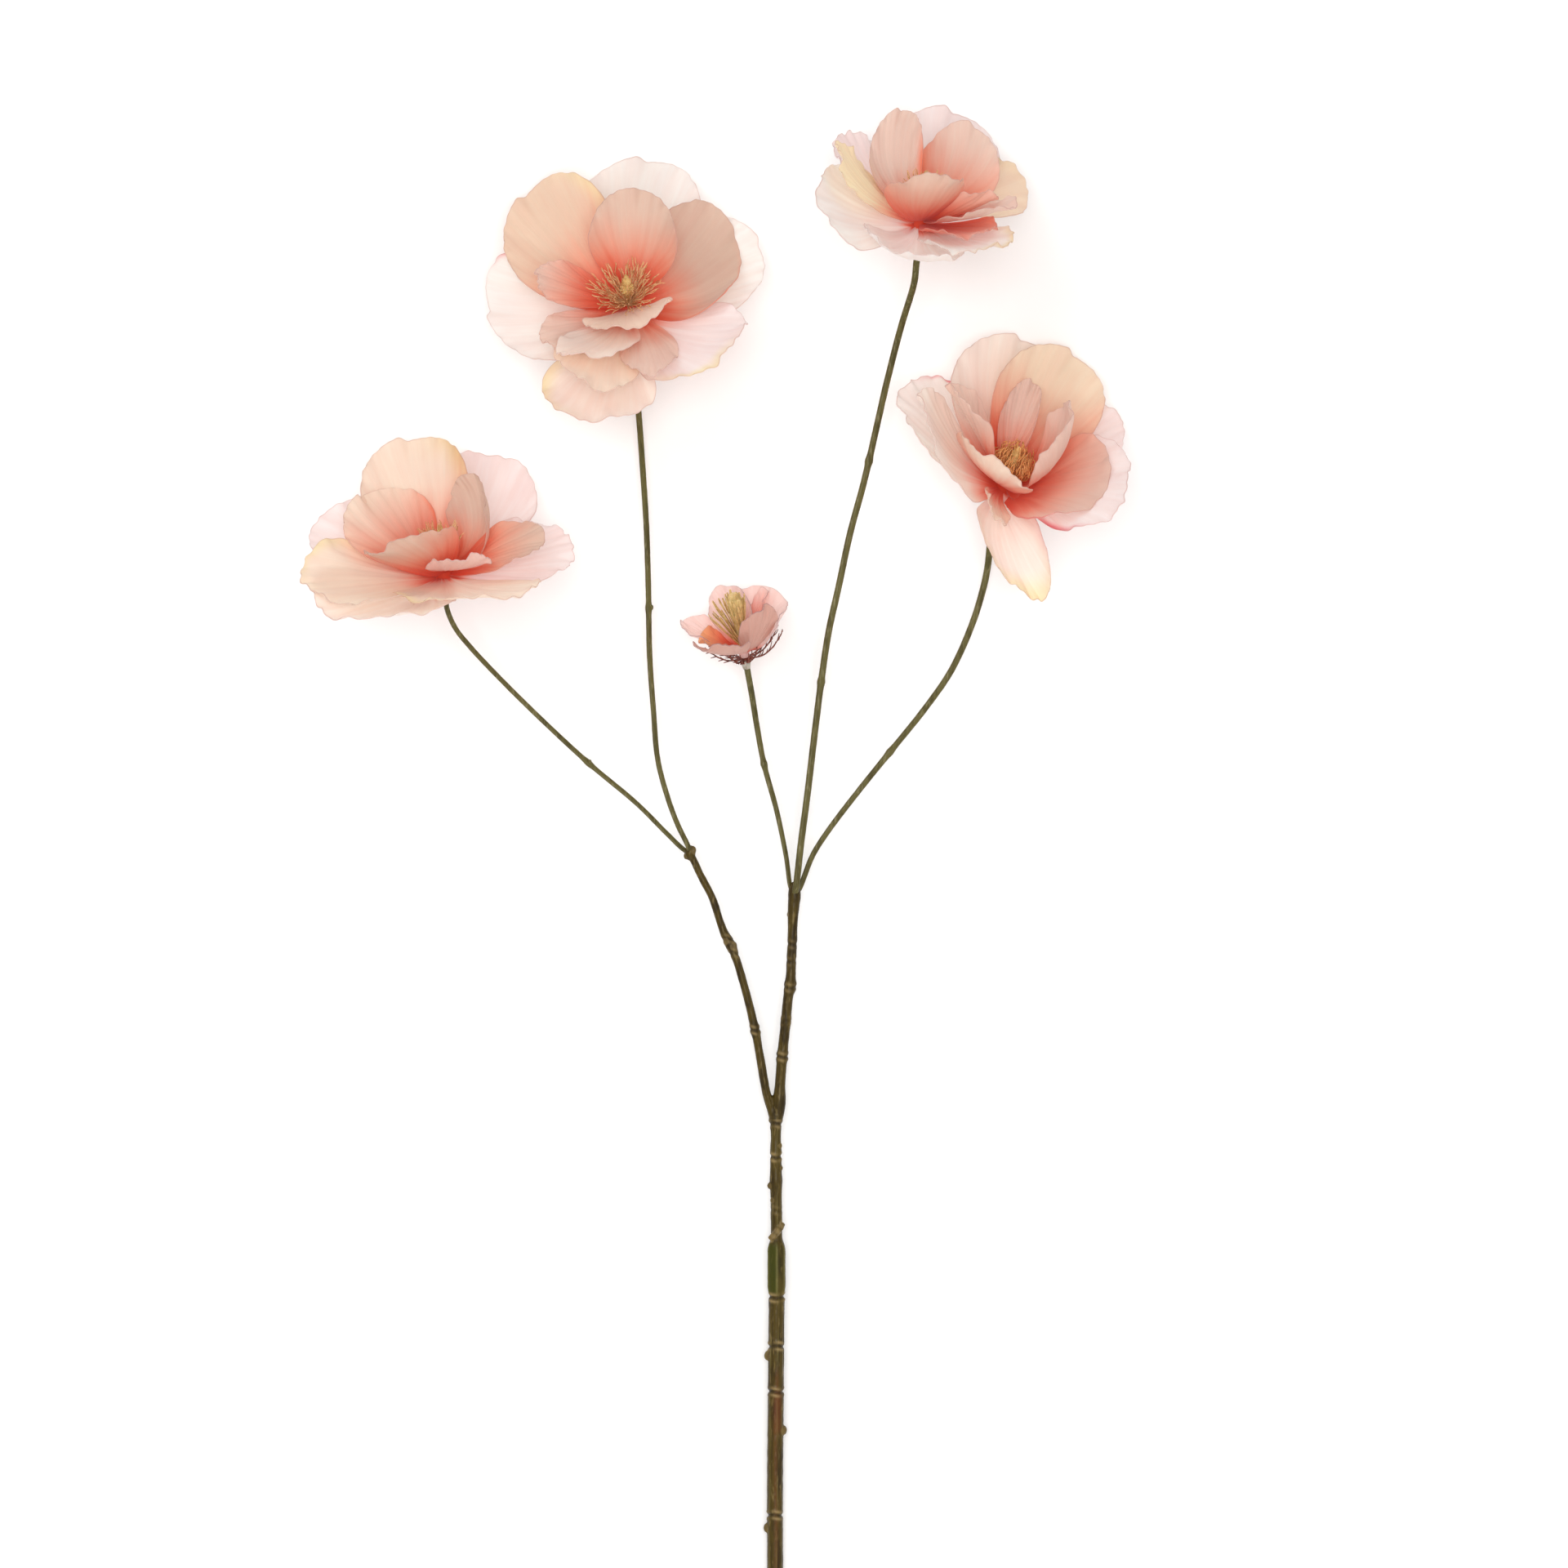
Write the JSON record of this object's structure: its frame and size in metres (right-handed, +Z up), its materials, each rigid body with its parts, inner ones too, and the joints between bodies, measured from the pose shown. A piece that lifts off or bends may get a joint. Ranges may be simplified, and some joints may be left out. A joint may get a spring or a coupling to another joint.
{
  "type": "artificial flower spray",
  "caption": "Cut branched artificial ranunculus spray lying flat: forked stem with slender stalks, broad-petalled open blooms round stamen tufts, and a small cup-shaped flower.",
  "frame": {"origin": "Middle of the spray's bounding box, on the surface it lies on.", "axes": "+Y runs from the cut end of the stem towards the blooms, +X is across the spray to the right as seen from above, +Z is up from the surface."},
  "size_m": [0.362, 0.6932, 0.1198],
  "materials": {
    "stem": "olive-brown moulded plastic, slightly glossy, mottled",
    "petals": "thin printed fabric, coral at the heart fading to pale pink and peach",
    "stamens": "tan filaments",
    "golden_stamens": "golden ochre filaments",
    "pistil": "green-tan knobbly head",
    "bracts": "dark red-brown, matt",
    "collar": "cloudy grey, slightly translucent"
  },
  "bodies": {
    "root": {"main_stem": "stem", "stalk_a": "stem", "stalk_b": "stem", "stalk_c": "stem", "stalk_d": "stem", "stalk_e": "stem", "receptacle_a": "stem", "receptacle_b": "stem", "receptacle_c": "stem", "receptacle_d": "stem", "petals_a": "petals", "petals_b": "petals", "petals_c": "petals", "petals_d": "petals", "petals_e": "petals", "stamens_a": "stamens", "stamens_b": "stamens", "stamens_c": "stamens", "stamens_d": "stamens", "stamens_e": "golden_stamens", "pistil_a": "pistil", "pistil_b": "pistil", "pistil_c": "pistil", "pistil_d": "pistil", "pistil_e": "golden_stamens", "bracts_e": "bracts", "collar_e": "collar"}
  },
  "joints": []
}
